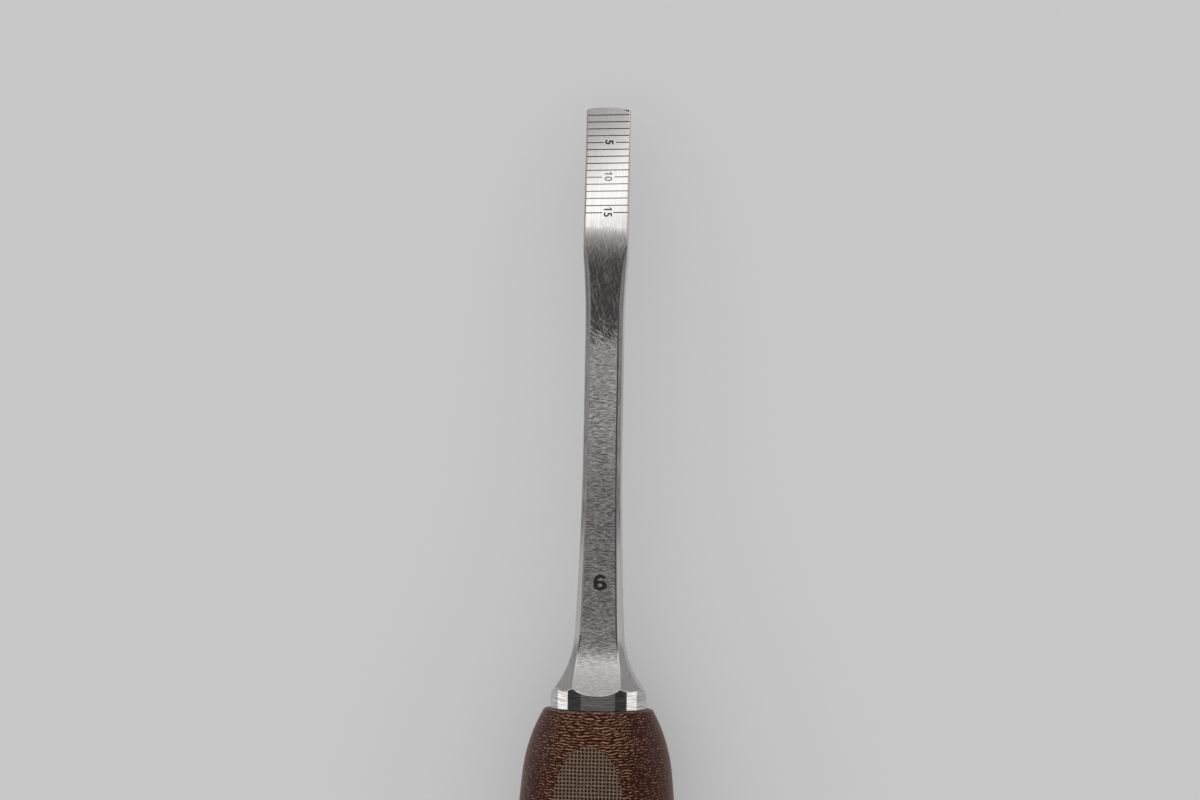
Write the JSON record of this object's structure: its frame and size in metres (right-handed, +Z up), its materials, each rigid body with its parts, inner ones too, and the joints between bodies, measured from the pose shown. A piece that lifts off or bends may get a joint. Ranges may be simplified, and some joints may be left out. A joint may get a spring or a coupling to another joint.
{
  "type": "osteotome",
  "caption": "Straight steel osteotome: graduated wedge blade, faceted shank and turned collar on a flatted barrel handle of canvas phenolic laminate with a steel striking cap.",
  "frame": {"origin": "under the middle of the instrument's length, on the surface that the handle's back flat rests on", "axes": "+Y along the instrument towards the cutting edge, +Z up through the graduated face, +X to the right seen from above with the edge away"},
  "size_m": [0.022, 0.195, 0.0189],
  "materials": {
    "blade_steel": "satin ground steel, brushed across the shank, with a polished turned collar",
    "canvas_laminate": "satin reddish brown laminate with a fine woven canvas figure",
    "cap_steel": "turned satin steel"
  },
  "bodies": {
    "root": {"blade": "blade_steel", "handle": "canvas_laminate", "striking_cap": "cap_steel"}
  },
  "joints": []
}
